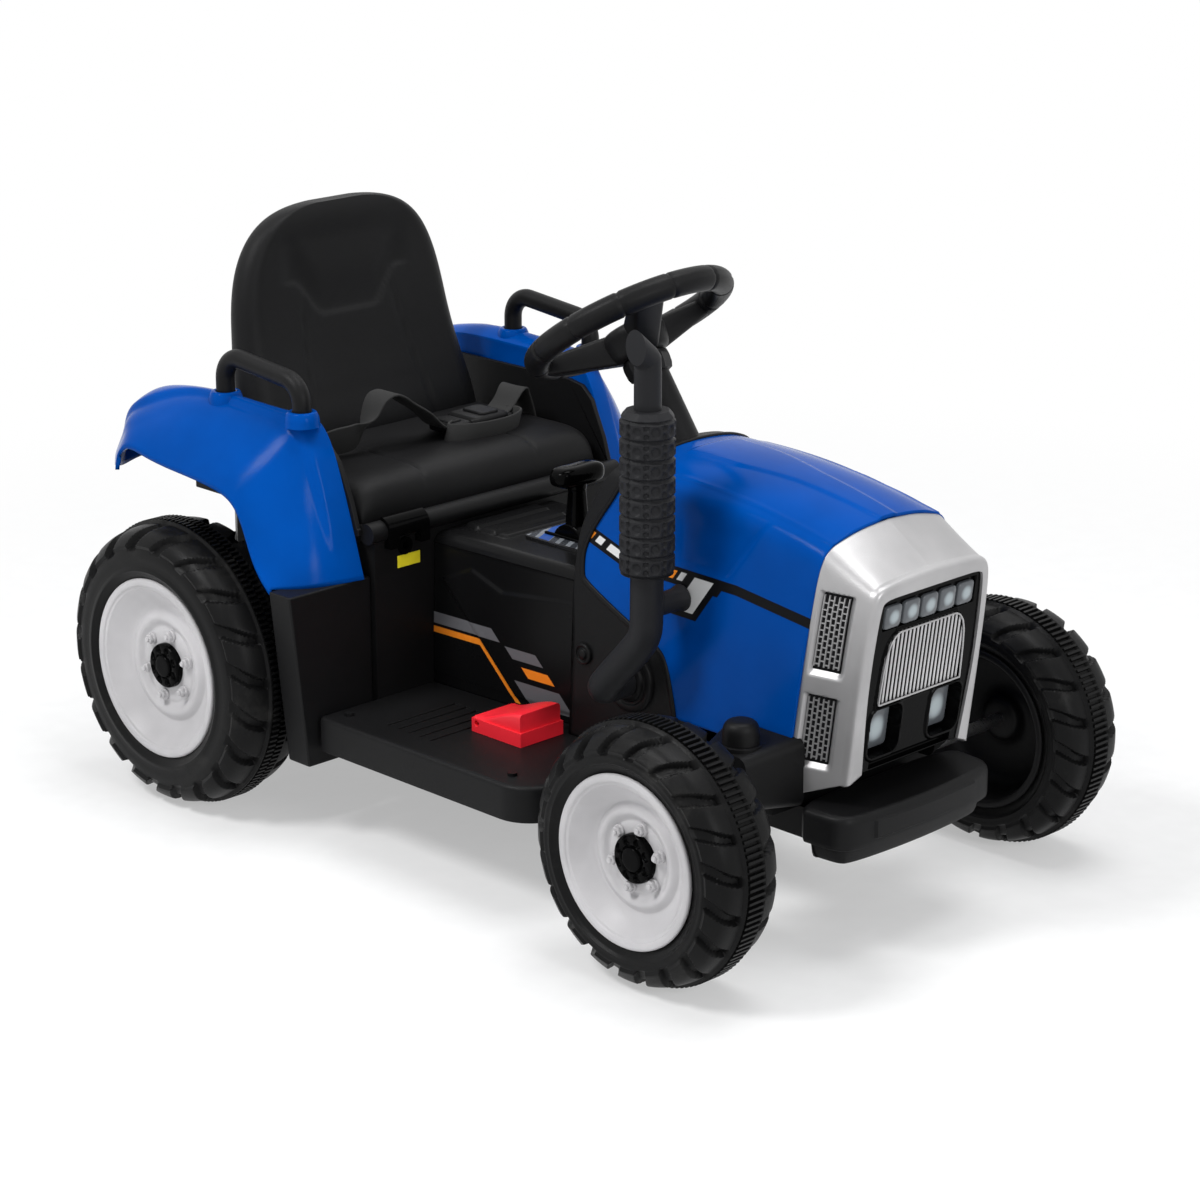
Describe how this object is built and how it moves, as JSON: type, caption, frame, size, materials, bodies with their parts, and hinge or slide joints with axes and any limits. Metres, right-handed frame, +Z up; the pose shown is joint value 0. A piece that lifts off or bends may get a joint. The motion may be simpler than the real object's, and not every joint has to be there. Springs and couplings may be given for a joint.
{
  "type": "ride-on toy tractor",
  "caption": "Ride-on toy tractor with a tall bonnet, exhaust stack, fendered rear wheels, belted seat, steering wheel, gear lever and foot pedal.",
  "frame": {"origin": "on the ground under the middle of the overall box", "axes": "+X forward, +Y to the rider's left, +Z up"},
  "size_m": [0.7808, 0.508, 0.4912],
  "materials": {
    "body_blue": "gloss",
    "trim_black": "satin",
    "gloss_black": "gloss",
    "mask_silver": "satin silver",
    "grille_silver": "satin silver",
    "lens": "clear",
    "vent_mesh": "satin",
    "tyre_black": "satin",
    "rim_white": "satin",
    "cap_black": "gloss",
    "seat_black": "matte",
    "exhaust_grey": "satin",
    "webbing": "woven",
    "pedal_red": "gloss",
    "gate_plate": "printed",
    "steel": "brushed",
    "motor_steel": "satin",
    "electrics": "matte"
  },
  "bodies": {
    "chassis": {"battery": "electrics", "belt_strap_left": "webbing", "belt_strap_right": "webbing", "body_screws": "steel", "bonnet": "body_blue", "buckle_socket": "trim_black", "buckle_tongue": "trim_black", "bumper": "trim_black", "charging_socket": "trim_black", "column_shroud": "trim_black", "controller": "electrics", "dash_cowl": "trim_black", "drive_motors": "motor_steel", "exhaust_pipe": "exhaust_grey", "exhaust_sleeve": "exhaust_grey", "fascia_panel": "gloss_black", "fender_left": "body_blue", "fender_right": "body_blue", "floor_pan": "trim_black", "front_axle_beam": "trim_black", "gear_gate": "gate_plate", "gearboxes": "trim_black", "grille_mask": "mask_silver", "handle_left": "trim_black", "handle_right": "trim_black", "headlight_lenses": "lens", "kingpin_caps": "trim_black", "lower_lamp_lenses": "lens", "pedal_base": "pedal_red", "pedal_spring": "steel", "radiator_grille": "grille_silver", "rear_axle": "steel", "rear_body": "trim_black", "seat": "seat_black", "seat_latch": "trim_black", "seat_wings": "trim_black", "side_vents": "vent_mesh", "tunnel_cover": "gloss_black", "wheel_columns": "trim_black"},
    "steering": {"steering_wheel": "trim_black", "steering_shaft": "steel"},
    "horn": {"horn_button": "trim_black"},
    "steer_link": {"tie_rod": "steel"},
    "pedal": {"accelerator_pedal": "pedal_red"},
    "lever": {"gear_lever": "gloss_black", "gear_knob": "gloss_black"},
    "stub_left": {"knuckle_left": "steel"},
    "front_wheel_left": {"front_tyre_left": "tyre_black", "front_rim_left": "rim_white", "front_hub_cap_left": "cap_black"},
    "rear_wheel_left": {"rear_tyre_left": "tyre_black", "rear_rim_left": "rim_white", "rear_hub_cap_left": "cap_black"},
    "stub_right": {"knuckle_right": "steel"},
    "front_wheel_right": {"front_tyre_right": "tyre_black", "front_rim_right": "rim_white", "front_hub_cap_right": "cap_black"},
    "rear_wheel_right": {"rear_tyre_right": "tyre_black", "rear_rim_right": "rim_white", "rear_hub_cap_right": "cap_black"}
  },
  "joints": [
    {"name": "steering_turn", "type": "hinge", "parent": "chassis", "child": "steering", "pos_m": [0.0523, 0, 0.4356], "axis": [-0.5592, 0, 0.829], "range_deg": [-30, 30]},
    {"name": "horn_press", "type": "slide", "parent": "steering", "child": "horn", "axis": [0.5592, 0, -0.829], "range_m": [0, 0.002], "stiffness_N_per_m": 400, "springref_m": -0.002},
    {"name": "steer_link_swing", "type": "hinge", "parent": "stub_left", "child": "steer_link", "pos_m": [0.239, 0.113, 0.12], "axis": [0, 0, 1], "range_deg": [-15, 15]},
    {"name": "pedal_press", "type": "hinge", "parent": "chassis", "child": "pedal", "pos_m": [0.014, -0.113, 0.118], "axis": [0, 1, 0], "range_deg": [0, 8], "stiffness_Nm_per_rad": 1.5, "springref_deg": -5.73, "deforming": ["pedal_spring"]},
    {"name": "lever_tip", "type": "hinge", "parent": "chassis", "child": "lever", "pos_m": [-0.008, 0, 0.237], "axis": [0, 1, 0], "range_deg": [-15, 15]},
    {"name": "stub_left_turn", "type": "hinge", "parent": "chassis", "child": "stub_left", "pos_m": [0.284, 0.113, 0.1041], "axis": [0, 0, 1], "range_deg": [-15, 15]},
    {"name": "front_wheel_left_spin", "type": "hinge", "parent": "stub_left", "child": "front_wheel_left", "pos_m": [0.284, 0.206, 0.1041], "axis": [0, 1, 0], "continuous": true},
    {"name": "rear_wheel_left_spin", "type": "hinge", "parent": "chassis", "child": "rear_wheel_left", "pos_m": [-0.266, 0.213, 0.1244], "axis": [0, 1, 0], "continuous": true},
    {"name": "stub_right_turn", "type": "hinge", "parent": "chassis", "child": "stub_right", "pos_m": [0.284, -0.113, 0.1041], "axis": [0, 0, 1], "range_deg": [-15, 15]},
    {"name": "front_wheel_right_spin", "type": "hinge", "parent": "stub_right", "child": "front_wheel_right", "pos_m": [0.284, -0.206, 0.1041], "axis": [0, 1, 0], "continuous": true},
    {"name": "rear_wheel_right_spin", "type": "hinge", "parent": "chassis", "child": "rear_wheel_right", "pos_m": [-0.266, -0.213, 0.1244], "axis": [0, 1, 0], "continuous": true}
  ],
  "couplings": [
    {"joint": "stub_left_turn", "follows": "steering_turn", "ratio": 0.5},
    {"joint": "stub_right_turn", "follows": "steering_turn", "ratio": 0.5},
    {"joint": "steer_link_swing", "follows": "steering_turn", "ratio": -0.5}
  ]
}
